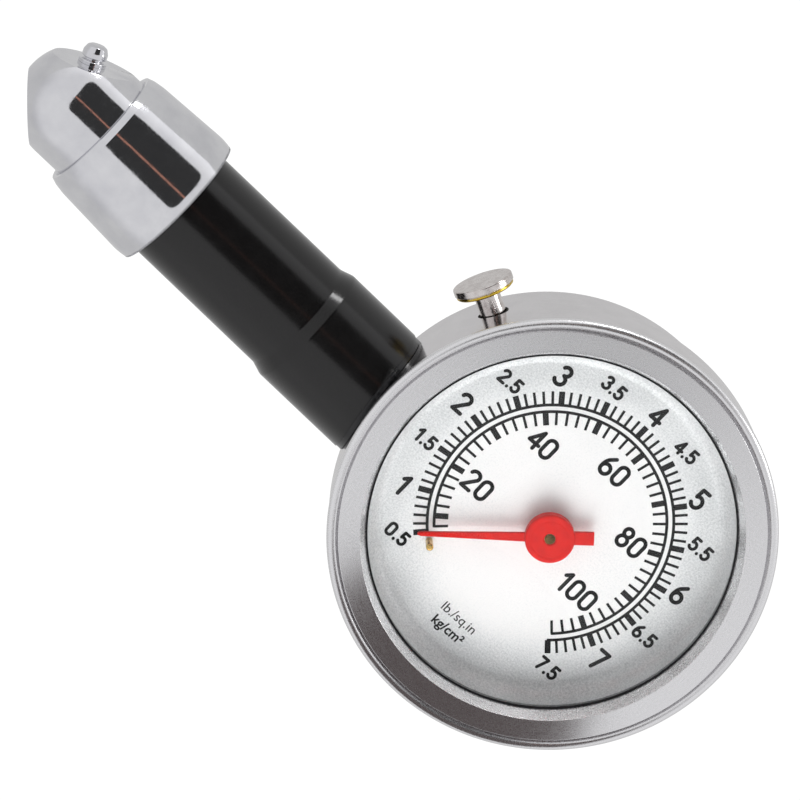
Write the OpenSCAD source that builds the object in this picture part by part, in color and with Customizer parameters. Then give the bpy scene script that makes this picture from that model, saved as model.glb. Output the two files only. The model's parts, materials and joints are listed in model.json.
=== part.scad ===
// Dial tire pressure gauge: a Bourdon-tube gauge in a stepped round case, with a rubber-sleeved
// neck, a ball-ended chuck and a push-button pressure release.
// The gauge lies on its flat back. The origin is the centre of that back face, +Z points out of
// the dial, the neck runs towards -X and the top of the dial is +Y. Millimetres and degrees.

/* [Case] */
// Outer radius of the case's front band
case_r = 24.7; // [24.2:0.1:24.8]
// Outer radius of the narrower rear cup
rear_r = 22.7; // [22.4:0.1:23]
// Thickness of the drawn case wall
case_wall = 0.8; // [0.6:0.1:0.8]
// Height of the ledge between rear cup and front band
ledge_z = 13.2; // [13:0.1:13.4]
// Fillet where the back meets the rear cup
back_fillet = 1.2; // [1:0.1:3]

/* [Bezel and window] */
// Height of the bezel's widest ring above the back
bezel_z = 21.2; // [21:0.1:22]
// Radius of the bezel at its widest
bezel_r = 25; // [24.8:0.1:26]
// Radius of the opening at the bezel's front edge
window_r = 21.3; // [21:0.1:21.6]
// Radius of the opening where the bezel meets the crystal
crystal_view_r = 20.6; // [20:0.1:20.8]
// Thickness of the crystal
crystal_t = 0.8; // [0.6:0.1:1]

/* [Dial and pointer] */
// Height of the dial's face above the back
dial_z = 16; // [15.95:0.05:16.2]
// Radius of the dial's visible face
dial_view_r = 18.6; // [18:0.1:19]
// Place of the pointer's axis on the dial
pointer_x = 0.6; // [0:0.1:1]
// Place of the pointer's axis on the dial, towards the top
pointer_y = -0.9; // [-1:0.1:0]
// Direction of the pointer at rest, counter-clockwise from +X
pointer_rest = 221.2; // [218:0.1:224]
// Length of the pointer from its axis to its tip
pointer_len = 14.7; // [13:0.1:15]
// Radius of the pointer's boss
boss_r = 2.8; // [2.4:0.1:3]

/* [Neck and chuck] */
// Height of the neck's axis above the back
neck_z = 12.2; // [12:0.1:12.4]
// Where the neck's axis would cross the Y axis
neck_y = -3.6; // [-4:0.05:-3]
// How far the neck leans from square to the case
neck_lean = 2.1; // [0:0.1:2.2]
// Radius of the rubber sleeve beside the case
sleeve_root_r = 7.5; // [7.2:0.1:7.6]
// Radius of the rubber sleeve just past its step
sleeve_mid_r = 7.15; // [7:0.05:7.2]
// Radius of the rubber sleeve at the collar
sleeve_end_r = 6.95; // [6.8:0.05:7]
// Distance from the case's axis to the step in the sleeve
sleeve_step_u = 36.5; // [34:0.1:40]
// Distance from the case's axis to the near end of the collar
collar_u0 = 54.8; // [54:0.1:56]
// Distance from the case's axis to the far end of the collar
collar_u1 = 66.5; // [66:0.1:67]
// Radius of the collar at its near end
collar_r0 = 8.45; // [8.2:0.05:8.6]
// Radius of the collar at its far end
collar_r1 = 7.95; // [7.8:0.05:8.2]
// Radius of the chuck's ball end
head_r = 6.7; // [6.6:0.05:6.8]
// Distance from the case's axis to the centre of the ball end
head_u = 70; // [69.5:0.1:70.5]
// Angle between the inlet bore and the neck
inlet_angle = 45; // [40:1:50]
// Radius of the inlet bore, which takes an 8 mm tyre valve
inlet_r = 4; // [3.95:0.05:4.1]
// Angle between the deflator pin and the neck, on the other side
deflator_angle = 64; // [60:1:66]

/* [Release button] */
// Direction of the button, counter-clockwise from +X
button_angle = 152; // [151:1:153]
// Sideways offset of the button's axis from the case's centre
button_side = -1.7; // [-1.8:0.1:-1.4]
// Height of the button's axis above the back
button_z = 14.2; // [14.1:0.05:14.2]
// Radius of the button's disc
button_r = 3.4; // [3:0.1:3.6]
// Distance from the case wall to the top of the button
button_out = 3.8; // [3.6:0.1:4.2]
// How far the button can be pressed
button_travel = 1.6; // [1:0.1:1.7]

/* [Movement] */
// Teeth on the pinion
pinion_teeth = 12; // [12]
// Teeth that a full wheel of the sector's radius would have
sector_teeth = 96; // [96]
// Module of the teeth
tooth_module = 0.25; // [0.25]
// Direction from the pointer's axis to the sector's axis
sector_dir = 285; // [283:1:287]
// How far the sector turns from rest to full scale
sector_travel = 33.5; // [30:0.5:33.5]
// Middle radius of the Bourdon tube
tube_r = 17.6; // [17.4:0.1:17.8]
// Radial thickness of the flattened tube
tube_w = 2; // [1.8:0.1:2.2]
// Height of the flattened tube
tube_h = 6; // [5:0.5:6]

/* [Hidden] */
$fn = 96;
fine = 32;

gap = 0.05;
band_in_r = case_r - case_wall;
rear_in_r = rear_r - case_wall;
rim_z = bezel_z - 0.6;
front_z = bezel_z + 0.75;
crystal_top_z = front_z - 2.1;
crystal_low_z = crystal_top_z - crystal_t;
gasket_low_z = crystal_low_z - 0.3;
bead_r = 0.6;
bead_z = bezel_z - 0.05;
face_r = bezel_r - 1.2;
skirt_r = band_in_r - gap;
skirt_in_r = 22.4;
skirt_low_z = 17.5;

dial_t = 0.4;
dial_low_z = dial_z - dial_t;
dial_r = 22.2;
ring_r = 22.3;
seat_in_r = 21.7;
seat_low_z = ledge_z + case_wall;

pointer_at = [pointer_x, pointer_y];
centre_distance = tooth_module * (pinion_teeth + sector_teeth) / 2;
sector_at = pointer_at + centre_distance * unit(sector_dir);
pinion_r = tooth_module * pinion_teeth / 2;
sector_r = tooth_module * sector_teeth / 2;
mesh_dir = sector_dir + 180;
tail_len = 4;
tail_rest = sector_dir - sector_travel / 2;
tail_at = sector_at + tail_len * unit(tail_rest);
tail_move = sector_at + tail_len * unit(tail_rest + sector_travel) - tail_at;

tube_low_z = 3;
tube_start = 152;
tube_sweep = 260;
tip_dir = tube_start - tube_sweep;
tip_at = tube_r * unit(tip_dir);
pin_r = 0.35;

plate_t = 0.8;
low_plate_z = 9.6;
high_plate_z = 13.6;
sector_z = 11.4;
sector_t = 1;
link_z = 12.6;
link_t = 0.6;
arbor_r = 0.6;
pillar_r = 1.2;
pillar_at = [[-6, 4.4], [7.2, 4.6], sector_at + 4.4 * unit(sector_dir - 270)];
foot_screw_at = [[-12, -3.6], [-12, 0.8]];
foot_low_y = -5.4;
foot_w = 8.4;

block_r = rear_in_r - 0.3;
block_x = -15.5;
block_top_z = dial_low_z - 0.25;
floor_z = case_wall;

stem_r = 1.45;
rod_r = 0.45;
seal_r = 1.75;
valve_r = 1.35;
valve_bore_r = 0.95;
valve_in_u = 13.9;
valve_seat_u = 20.2;

stem_bore_r = 1.2;
stem_in_r = 3;
stem_out_r = 4.4;
stem_in_u = 17.5;
boss_u = 27;
sleeve_gap = 0.7;
sleeve_bore_r = 5.3;
shank_u = 60.5;
facet_d = 5;
inlet_floor = -1;
gasket_t = 1.8;
gasket_seat_r = 4.25;
shank_seat_u = shank_u - 1;
deflator_shank_r = 0.8;
deflator_shank_l = 0.6;

function unit(a) = [cos(a), sin(a)];
function polar(r, a) = r * unit(a);

// Puts its children, drawn along +Z, on the neck's axis with +Z pointing to the chuck
module on_neck(u = 0) {
    translate([0, neck_y, neck_z]) rotate([0, 0, -neck_lean]) rotate([0, -90, 0])
        translate([0, 0, u]) children();
}

// Puts its children at the ball's centre, turned away from the neck by an angle towards -Y
module on_head(angle) {
    on_neck(head_u) rotate([angle, 0, 0]) children();
}

// Puts its children, drawn along +Z, on the button's axis with +Z pointing out of the case
module on_button(u = 0) {
    rotate([0, 0, button_angle]) translate([u, button_side, button_z]) rotate([0, 90, 0])
        children();
}

module ring(r_out, r_in, h) {
    difference() {
        cylinder(r = r_out, h = h);
        translate([0, 0, -1]) cylinder(r = r_in, h = h + 2);
    }
}

module bar(from, to, width) {
    d = to - from;
    translate(from) rotate(atan2(d[1], d[0])) translate([0, -width / 2]) square([norm(d), width]);
}

// Coil spring as a stack of round-wire hoops joined by a straight stay
module spring(r, wire_r, length, turns) {
    pitch = (length - 2 * wire_r) / (turns - 1);
    for (i = [0 : turns - 1])
        translate([0, 0, wire_r + i * pitch])
            rotate_extrude($fn = fine) translate([r, 0]) circle(r = wire_r, $fn = 16);
    translate([r, 0, wire_r]) cylinder(r = wire_r * 0.8, h = length - 2 * wire_r, $fn = 16);
}

module case() {
    outer = [[0, 0], [rear_r - back_fillet, 0],
        for (a = [-90 : 10 : 0]) [rear_r - back_fillet, back_fillet] + polar(back_fillet, a),
        [rear_r, ledge_z - 0.5], [rear_r + 0.4, ledge_z], [case_r - 0.25, ledge_z],
        [case_r, ledge_z + 0.25], [case_r, rim_z]];
    inner = [[band_in_r, rim_z], [band_in_r, seat_low_z], [rear_in_r, seat_low_z],
        for (a = [0 : -15 : -90])
            [rear_r - back_fillet, back_fillet] + polar(back_fillet - case_wall, a),
        [0, floor_z]];
    color("gainsboro") difference() {
        rotate_extrude() polygon(concat(outer, inner));
        on_neck(15) cylinder(r = stem_in_r + gap, h = 15);
        on_button(15) cylinder(r = seal_r + gap / 2, h = 15);
    }
}

module bezel() {
    color("silver") rotate_extrude() {
        polygon([[skirt_in_r, skirt_low_z], [skirt_r, skirt_low_z], [skirt_r, rim_z],
            [case_r - 0.1, rim_z], [bezel_r - bead_r, bezel_z - 0.55], [bezel_r - bead_r, bead_z],
            [face_r + 0.12, bead_z + 0.1], [face_r, bead_z - 0.08], [face_r - 0.15, bead_z + 0.14],
            [window_r + 0.35, front_z - 0.05], [window_r + 0.15, front_z],
            [window_r, front_z - 0.12], [crystal_view_r, crystal_top_z],
            [skirt_in_r, crystal_top_z]]);
        translate([bezel_r - bead_r, bead_z]) circle(r = bead_r, $fn = fine);
    }
}

module crystal() {
    color("azure", 0.3) translate([0, 0, crystal_low_z])
        cylinder(r = dial_r, h = crystal_t);
}

module crystal_gasket() {
    color("dimgray") translate([0, 0, gasket_low_z])
        ring(dial_r, crystal_view_r + 0.1, crystal_low_z - gasket_low_z);
}

module dial_ring() {
    color("white") rotate_extrude() polygon([[dial_view_r, dial_z],
        [crystal_view_r - 0.1, gasket_low_z], [ring_r, gasket_low_z], [ring_r, dial_z]]);
}

module dial() {
    color("white") difference() {
        translate([0, 0, dial_low_z]) cylinder(r = dial_r, h = dial_t);
        translate([pointer_x, pointer_y, dial_low_z - 1]) cylinder(r = 1.2, h = dial_t + 2);
    }
}

// Ring under the dial's edge, notched where the neck and the release valve pass
module dial_seat() {
    color("ivory") difference() {
        translate([0, 0, seat_low_z + gap])
            ring(skirt_r, seat_in_r, dial_low_z - seat_low_z - gap);
        on_neck(15) cylinder(r = stem_in_r + 0.5, h = 15);
        rotate([0, 0, button_angle]) translate([15, button_side - 2.4, seat_low_z - 1])
            cube([15, 4.8, 10]);
    }
}

module stop_pin() {
    color("goldenrod") translate([-8.55, -10.65, dial_z]) {
        cylinder(r = 0.42, h = 2.2, $fn = fine);
        translate([0, 0, 2.2]) cylinder(r1 = 0.42, r2 = 0.25, h = 0.2, $fn = fine);
    }
}

// Red pointer: tapered blade, round boss and a short square tail, on the arbor's taper
module pointer() {
    blade_z = dial_z + 1.5;
    color("red") translate([pointer_x, pointer_y, 0]) rotate([0, 0, pointer_rest])
        difference() {
            union() {
                translate([0, 0, blade_z]) linear_extrude(0.5)
                    polygon([[0, -0.57], [pointer_len - 0.3, -0.24], [pointer_len, -0.12],
                        [pointer_len, 0.12], [pointer_len - 0.3, 0.24], [0, 0.57]]);
                translate([-4.95, -0.75, blade_z]) cube([4, 1.5, 0.5]);
                translate([0, 0, blade_z - 0.3]) cylinder(r = boss_r, h = 1.35);
            }
            translate([0, 0, blade_z - 1]) cylinder(r = arbor_r, h = 4);
        }
}

// Pointer's arbor with its pinion, running in the two plates
module pointer_arbor() {
    half_root = 8;
    half_tip = 3.2;
    root = pinion_r - 0.3;
    tip = pinion_r + 0.22;
    color("gold") translate([pointer_x, pointer_y, low_plate_z]) {
        cylinder(r = 0.45, h = 1.1, $fn = fine);
        translate([0, 0, plate_t + 0.2])
            cylinder(r = arbor_r, h = dial_z + 2.25 - low_plate_z - plate_t);
        translate([0, 0, plate_t + 0.3]) linear_extrude(1.9) {
            circle(r = root);
            for (i = [0 : pinion_teeth - 1]) let (a = sector_dir + i * 360 / pinion_teeth)
                polygon([[0, 0], polar(root, a - half_root), polar(tip, a - half_tip),
                    polar(tip, a + half_tip), polar(root, a + half_root)]);
        }
    }
}

// Flat spiral strip that takes up backlash, from the arbor's collet out to the top plate
module hairspring() {
    turns = 3.5;
    step = 20;
    strip = 0.06;
    start_r = 1.1;
    pitch = 0.6;
    spiral = [for (a = [0 : step : turns * 360]) [start_r + pitch * a / 360, a]];
    last = len(spiral) - 1;
    color("steelblue") translate([pointer_x, pointer_y, high_plate_z - 0.45])
        linear_extrude(0.3) polygon(concat([for (p = spiral) polar(p[0] + strip, p[1])],
            [for (i = [last : -1 : 0]) polar(spiral[i][0] - strip, spiral[i][1])]));
}

module plate_outline(foot) {
    translate(pointer_at) circle(r = 5);
    translate(sector_at) circle(r = 3.2);
    bar(pointer_at, sector_at, 6);
    for (p = pillar_at) {
        translate(p) circle(r = 2);
        bar(p, p[1] < 0 ? sector_at : pointer_at, 3.4);
    }
    if (foot) translate([block_x + 0.2, foot_low_y]) square([13, foot_w]);
}

module bottom_plate() {
    color("khaki") difference() {
        translate([0, 0, low_plate_z]) linear_extrude(plate_t) plate_outline(true);
        translate([pointer_x, pointer_y, 0]) cylinder(r = 0.5, h = 30, $fn = fine);
        translate(sector_at) cylinder(r = 0.5, h = 30, $fn = fine);
        for (p = concat(pillar_at, foot_screw_at)) translate(p)
            cylinder(r = 0.65, h = 30, $fn = fine);
    }
}

module top_plate() {
    color("khaki") difference() {
        translate([0, 0, high_plate_z]) linear_extrude(plate_t) plate_outline(false);
        translate([pointer_x, pointer_y, 0]) cylinder(r = arbor_r + gap, h = 30);
        translate(sector_at) cylinder(r = 0.5, h = 30, $fn = fine);
        for (p = pillar_at) translate(p) cylinder(r = 0.65, h = 30, $fn = fine);
    }
}

module pillars() {
    color("gold") for (p = pillar_at) translate([p[0], p[1], low_plate_z + plate_t])
        ring(pillar_r, 0.6, high_plate_z - low_plate_z - plate_t);
}

// One long screw down through each pillar
module plate_screws() {
    color("silver") for (p = pillar_at) translate(p) {
        translate([0, 0, low_plate_z]) cylinder(r = 0.55, h = high_plate_z + plate_t - low_plate_z);
        translate([0, 0, high_plate_z + plate_t]) difference() {
            cylinder(r = 1.15, h = 0.8);
            translate([-2, -0.17, 0.4]) cube([4, 0.34, 1]);
        }
    }
}

module foot_screws() {
    color("silver") for (p = foot_screw_at) translate(p) {
        translate([0, 0, low_plate_z - 2.6]) cylinder(r = 0.6, h = 3.4);
        translate([0, 0, low_plate_z + plate_t]) difference() {
            cylinder(r = 1.3, h = 0.9);
            translate([-2, -0.2, 0.5]) cube([4, 0.4, 1]);
        }
    }
}

// Toothed sector with a lightening window and the tail that the link pulls
module sector_gear() {
    step = 360 / sector_teeth;
    first = mesh_dir - 8.5 * step;
    count = 13;
    last = first + (count - 1) * step;
    root = sector_r - 0.3;
    tip = sector_r + 0.22;
    tail = polar(tail_len, tail_rest);
    color("gold") translate([sector_at[0], sector_at[1], sector_z]) difference() {
        linear_extrude(sector_t) {
            circle(r = 1.7);
            bar([0, 0], tail, 1.5);
            translate(tail) circle(r = 0.95);
            polygon([[0, 0], for (a = [first - 1 : step / 2 : last + 1.1]) polar(root, a)]);
            for (i = [0 : count - 1]) let (a = first + i * step)
                polygon([polar(root - 0.3, a - 1), polar(root, a - 0.95), polar(tip, a - 0.42),
                    polar(tip, a + 0.42), polar(root, a + 0.95), polar(root - 0.3, a + 1)]);
        }
        translate([0, 0, -1]) linear_extrude(3) polygon([polar(3.6, (first + last) / 2),
            for (a = [first + 4 : 6 : last - 4]) polar(root - 1.6, a)]);
        translate([0, 0, -1]) cylinder(r = 0.6, h = 4, $fn = fine);
        translate([tail[0], tail[1], -1]) cylinder(r = pin_r, h = 4, $fn = fine);
    }
}

module sector_arbor() {
    color("silver") translate(sector_at) {
        translate([0, 0, low_plate_z]) cylinder(r = 0.45, h = high_plate_z + plate_t - low_plate_z);
        translate([0, 0, sector_z]) cylinder(r = 0.6, h = sector_t, $fn = fine);
        translate([0, 0, low_plate_z + plate_t + 0.1])
            cylinder(r = 0.9, h = sector_z - low_plate_z - plate_t - 0.1);
    }
}

// Link with a round eye on the sector's tail and a slotted eye round the tube tip's pin
module link_rod() {
    slot_end = tip_at - tail_move;
    color("khaki") translate([0, 0, link_z]) linear_extrude(link_t) difference() {
        union() {
            translate(tail_at) circle(r = 0.95);
            bar(tail_at, tip_at, 1.1);
            for (p = [tip_at, slot_end]) translate(p) circle(r = 1.15);
            bar(tip_at, slot_end, 2.3);
        }
        translate(tail_at) circle(r = pin_r + gap, $fn = fine);
        for (p = [tip_at, slot_end]) translate(p) circle(r = 0.65, $fn = fine);
        bar(tip_at, slot_end, 1.3);
    }
}

module link_pin() {
    color("silver") translate(tail_at) {
        translate([0, 0, sector_z]) cylinder(r = pin_r, h = 1.9, $fn = fine);
    }
}

// Flattened tube bent to a C, fixed in the socket block and closed by the tip piece
module bourdon_tube() {
    color("peru") translate([0, 0, tube_low_z]) rotate([0, 0, tip_dir])
        rotate_extrude(angle = tube_sweep) translate([tube_r, tube_h / 2]) difference() {
            tube_section(tube_w, tube_h);
            tube_section(tube_w - 0.6, tube_h - 0.6);
        }
}

module tube_section(w, h) {
    square([w, h - w], center = true);
    for (s = [-1, 1]) translate([0, s * (h - w) / 2]) circle(r = w / 2, $fn = fine);
}

// Brazed cap on the tube's free end, with the pin that works the link
module tube_tip() {
    color("gold") rotate([0, 0, tip_dir]) {
        translate([tube_r - 1.3, -2.4, tube_low_z]) cube([2.6, 2.4, tube_h]);
        translate([tube_r - 1.3, -2.4, tube_low_z + tube_h]) cube([2.6, 3.2, 1.1]);
        translate([tube_r, 0, tube_low_z + tube_h + 1])
            cylinder(r = 0.8, h = link_z - tube_low_z - tube_h - 1.15, $fn = fine);
        translate([tube_r, 0, tube_low_z + tube_h + 1])
            cylinder(r = pin_r, h = link_z - tube_low_z - tube_h - 0.3, $fn = fine);
    }
}

// Solid block that joins the neck, the Bourdon tube and the release valve
module socket_block() {
    boss_w = 6;
    color("goldenrod") difference() {
        intersection() {
            union() {
                translate([0, 0, floor_z]) cylinder(r1 = block_r - 1.2, r2 = block_r, h = 1.2);
                translate([0, 0, floor_z + 1.2]) cylinder(r = block_r, h = block_top_z - floor_z - 1.2);
            }
            union() {
                translate([-22, -8.5, 0]) cube([22 + block_x, 20, 20]);
                translate([block_x - 1, foot_low_y, 5.5]) cube([7.5, foot_w, low_plate_z - 5.5]);
                rotate([0, 0, button_angle]) translate([15.2, button_side - boss_w / 2, 0])
                    cube([8, boss_w, 20]);
                rotate([0, 0, button_angle]) translate([12.6, button_side - boss_w / 2, 11.4])
                    cube([8, boss_w, 10]);
            }
        }
        on_neck(stem_in_u) cylinder(r = stem_in_r, h = 10);
        on_neck(stem_in_u - 1.5) cylinder(r = stem_bore_r, h = 10);
        on_button(valve_in_u) cylinder(r = valve_r + gap / 2, h = 10);
        rotate([0, 0, tube_start - 20]) translate([0, 0, tube_low_z])
            rotate_extrude(angle = 20.3) translate([tube_r, tube_h / 2])
                tube_section(tube_w + 2 * gap, tube_h + 2 * gap);
        for (p = foot_screw_at) translate([p[0], p[1], low_plate_z - 2.8])
            cylinder(r = 0.65, h = 5, $fn = fine);
        translate([block_x - 1.5, -3.2, neck_z]) rotate([-90, 0, 0])
            cylinder(r = 0.6, h = 12, $fn = fine);
        translate([block_x - 0.4, 8, tube_low_z + tube_h - 0.5])
            cylinder(r = 0.6, h = neck_z - tube_low_z - tube_h + 0.5, $fn = fine);
    }
}

// Brass barrel of the release valve, which ends where the pressed button's stem stops
module valve_body() {
    color("goldenrod") on_button(valve_in_u) difference() {
        cylinder(r = valve_r, h = case_r - 0.2 - button_travel - valve_in_u);
        translate([0, 0, 0.6]) cylinder(r = valve_bore_r, h = 10, $fn = fine);
        translate([0, 0, -1]) cylinder(r = 0.4, h = 4, $fn = fine);
    }
}

module valve_seat() {
    color("black") on_button(valve_seat_u) ring(valve_bore_r - 0.03, rod_r + 0.15, 0.5);
}

// Rubber disc on the rod's end, pressed to the seat from inside by the spring
module valve_disc() {
    color("dimgray") on_button(valve_seat_u - 0.6) cylinder(r = valve_bore_r - 0.07, h = 0.55, $fn = fine);
}

module valve_spring() {
    length = 3.35;
    color("silver") on_button(valve_seat_u - 0.65 - length) spring(0.72, 0.11, length, 6);
}

// Nickel-plated button: flat disc, thick stem outside and thin rod inside
module release_button() {
    top = case_r + button_out;
    color("silver") on_button() {
        translate([0, 0, top - 1.3]) cylinder(r = button_r - 0.15, h = 0.15);
        translate([0, 0, top - 1.15]) cylinder(r = button_r, h = 1);
        translate([0, 0, top - 0.15]) cylinder(r1 = button_r, r2 = button_r - 0.15, h = 0.15);
        translate([0, 0, case_r - 0.1]) cylinder(r = stem_r, h = button_out - 1.1);
        translate([0, 0, valve_seat_u - 0.05])
            cylinder(r = rod_r, h = case_r - valve_seat_u, $fn = fine);
    }
}

// Black ring that closes the hole round the button's stem
module button_seal() {
    color("black") on_button(band_in_r - 0.25) ring(seal_r, stem_r + 0.08, case_wall + 0.1);
}

// Dark saddle between the case wall and the rubber sleeve, with a spigot inside the sleeve
module neck_boss() {
    color("dimgray") difference() {
        union() {
            on_neck(20) cylinder(r = sleeve_bore_r - 0.1, h = boss_u + 1.6 - 20);
            intersection() {
                on_neck(20) cylinder(r = sleeve_root_r - 0.1, h = 8);
                cylinder(r = case_r + sleeve_gap - gap, h = 40);
            }
        }
        translate([0, 0, ledge_z - gap]) cylinder(r = case_r + gap, h = 40);
        translate([0, 0, -1]) cylinder(r = rear_r + 0.45, h = 40);
        on_neck(15) cylinder(r = stem_in_r + gap, h = 20);
    }
}

// Air tube through the neck, stepped down where it screws into the socket block
module stem_tube() {
    color("goldenrod") difference() {
        union() {
            on_neck(stem_in_u) cylinder(r = stem_in_r - 0.02, h = boss_u + 2 - stem_in_u);
            on_neck(boss_u + 1.6) cylinder(r = stem_out_r, h = shank_u - boss_u - 1.6);
        }
        on_neck(stem_in_u - 1) cylinder(r = stem_bore_r, h = 60);
        on_neck(shank_u - 5.5) cylinder(r = 2.2, h = 10);
    }
}

module rubber_sleeve() {
    color([0.12, 0.12, 0.12]) difference() {
        on_neck() rotate_extrude() polygon([[sleeve_bore_r, 22], [sleeve_root_r, 22],
            [sleeve_root_r, sleeve_step_u - 2.2], [sleeve_root_r - 0.06, sleeve_step_u - 1.5],
            [sleeve_mid_r + 0.06, sleeve_step_u - 0.3], [sleeve_mid_r, sleeve_step_u + 0.5],
            [sleeve_end_r, collar_u0 + 3.5], [stem_out_r + gap, collar_u0 + 3.5],
            [stem_out_r + gap, boss_u + 1.7], [sleeve_bore_r, boss_u + 1.7]]);
        translate([0, 0, -1]) cylinder(r = case_r + sleeve_gap, h = 40);
    }
}

// Chromed ferrule that grips the sleeve's end and the chuck's shank
module collar() {
    color("silver") on_neck() rotate_extrude() polygon([[sleeve_end_r + 0.15, collar_u0],
        [collar_r0 - 0.6, collar_u0],
        for (a = [0 : 15 : 90]) [collar_r0 - 0.6, collar_u0 + 0.6] + 0.6 * [sin(a), -cos(a)],
        [collar_r0 - 0.02, collar_u0 + 3], [collar_r1 + 0.02, collar_u1 - 0.9],
        [collar_r1 - 0.55, collar_u1], [head_r + gap, collar_u1],
        [head_r + gap, collar_u0 + 3.7], [sleeve_end_r + 0.15, collar_u0 + 3.7]]);
}

// Chromed chuck: a ball-ended shank with the inlet bore and the deflator's flat
module chuck_head() {
    color("gainsboro") difference() {
        union() {
            on_neck(shank_u) cylinder(r = head_r, h = head_u - shank_u);
            on_neck(head_u) sphere(r = head_r);
        }
        on_head(inlet_angle) translate([0, 0, inlet_floor]) {
            cylinder(r = inlet_r, h = 20);
            cylinder(r = gasket_seat_r, h = gasket_t);
        }
        on_head(inlet_angle) translate([0, 0, head_r - 1.55])
            cylinder(r1 = inlet_r, r2 = inlet_r + 1.2, h = 1.2);
        on_head(-deflator_angle) translate([0, 0, facet_d]) cylinder(r = 8, h = 5);
        on_head(-deflator_angle) translate([0, 0, facet_d - deflator_shank_l - gap])
            cylinder(r = deflator_shank_r + gap, h = 5);
        on_neck(shank_u - 1) cylinder(r = stem_bore_r, h = head_u - shank_u - 0.8);
        on_head(inlet_angle) translate([0, 0, -2.4]) cylinder(r = 0.8, h = 5, $fn = fine);
    }
}

module inlet_gasket() {
    color("black") on_head(inlet_angle) translate([0, 0, inlet_floor])
        ring(gasket_seat_r - 0.03, 1.5, gasket_t - 0.01);
}

// Pin that opens the tyre's valve, on a thin bridge with air gaps beside it
module depressor_pin() {
    color("gold") on_head(inlet_angle) translate([0, 0, inlet_floor]) {
        translate([-1.45, -0.4, 0]) cube([2.9, 0.8, 0.6]);
        cylinder(r = 0.55, h = gasket_t - 0.6, $fn = fine);
        translate([0, 0, gasket_t - 0.6]) sphere(r = 0.55, $fn = fine);
    }
}

// Stepped pin on the chuck's flat for letting air out of a tyre
module deflator_pin() {
    color("silver") on_head(-deflator_angle) {
        translate([0, 0, facet_d - deflator_shank_l])
            cylinder(r = deflator_shank_r, h = deflator_shank_l + 0.1);
        translate([0, 0, facet_d]) rotate_extrude($fn = 64) polygon([[0, 0], [1.5, 0], [1.5, 0.35],
            [1.42, 0.45], [1.1, 0.5], [1.1, 0.68], [1.4, 0.78], [1.4, 1.35], [1.25, 1.6],
            [1.15, 1.9], [0.85, 2.12], [0.4, 2.2], [0, 2.2]]);
    }
}

// Seat of the check valve that holds the reading, in the stem tube's end
module check_seat() {
    color("black") on_neck(shank_seat_u) ring(2.15, 0.7, 0.95);
}

module check_poppet() {
    color("gold") on_neck(shank_seat_u - 0.05) mirror([0, 0, 1]) {
        cylinder(r = 1.5, h = 0.8);
        translate([0, 0, 0.8]) cylinder(r = 0.6, h = 0.8, $fn = fine);
    }
}

module check_spring() {
    length = 2.7;
    color("silver") on_neck(shank_seat_u - 0.9 - length) spring(1.3, 0.15, length, 5);
}

case();
bezel();
crystal();
crystal_gasket();
dial_ring();
dial();
dial_seat();
stop_pin();
pointer();
pointer_arbor();
hairspring();
bottom_plate();
top_plate();
pillars();
plate_screws();
foot_screws();
sector_gear();
sector_arbor();
link_rod();
link_pin();
bourdon_tube();
tube_tip();
socket_block();
valve_body();
valve_seat();
valve_spring();
valve_disc();
release_button();
button_seal();
neck_boss();
stem_tube();
rubber_sleeve();
collar();
chuck_head();
inlet_gasket();
depressor_pin();
deflator_pin();
check_seat();
check_poppet();
check_spring();
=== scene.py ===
"""Looks of the dial tire pressure gauge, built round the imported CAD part."""
import json
import math

import bmesh
import bpy
from mathutils import Matrix, Vector


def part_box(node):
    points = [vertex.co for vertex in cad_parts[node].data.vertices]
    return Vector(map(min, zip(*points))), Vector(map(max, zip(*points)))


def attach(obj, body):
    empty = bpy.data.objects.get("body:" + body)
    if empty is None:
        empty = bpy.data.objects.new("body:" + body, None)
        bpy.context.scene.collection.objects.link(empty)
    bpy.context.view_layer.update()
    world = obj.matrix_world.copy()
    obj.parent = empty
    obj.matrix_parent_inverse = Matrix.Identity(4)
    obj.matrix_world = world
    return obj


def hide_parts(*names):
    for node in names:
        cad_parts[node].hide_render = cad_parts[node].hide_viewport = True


MM = 0.001
TURN = 2 * math.pi

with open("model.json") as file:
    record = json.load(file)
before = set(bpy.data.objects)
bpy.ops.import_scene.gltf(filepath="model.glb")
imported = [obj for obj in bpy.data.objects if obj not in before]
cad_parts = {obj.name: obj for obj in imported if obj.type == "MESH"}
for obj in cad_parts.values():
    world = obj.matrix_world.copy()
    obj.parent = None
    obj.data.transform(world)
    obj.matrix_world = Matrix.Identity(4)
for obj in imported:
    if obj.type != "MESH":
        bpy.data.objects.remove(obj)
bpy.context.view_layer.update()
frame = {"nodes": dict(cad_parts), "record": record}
joints = {j["name"]: j for j in frame["record"]["behaviour"]["joints"]}
mounts = {m["name"]: m for m in frame["record"]["mounts"]}


# ---------------------------------------------------------------- camera

CAMERA_AZIMUTH = math.radians(226.66)
CAMERA_ELEVATION = math.radians(73.71)
CAMERA_ROLL = math.radians(-183.91)
CAMERA_DISTANCE = 500 * MM
CAMERA_LENS = 202.05
AIM = Vector((-26, 0, 11)) * MM
ASIDE = 2.37 * MM
ABOVE = -4.6 * MM


def camera_axes():
    """Right, up and back directions of the camera."""
    a, e = CAMERA_AZIMUTH, CAMERA_ELEVATION
    back = Vector((math.sin(a) * math.cos(e), -math.cos(a) * math.cos(e), math.sin(e)))
    level = Vector((0, 0, 1)).cross(back).normalized()
    upright = back.cross(level)
    c, s = math.cos(CAMERA_ROLL), math.sin(CAMERA_ROLL)
    return level * c + upright * s, upright * c - level * s, back


RIGHT, UP, BACK = camera_axes()


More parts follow.
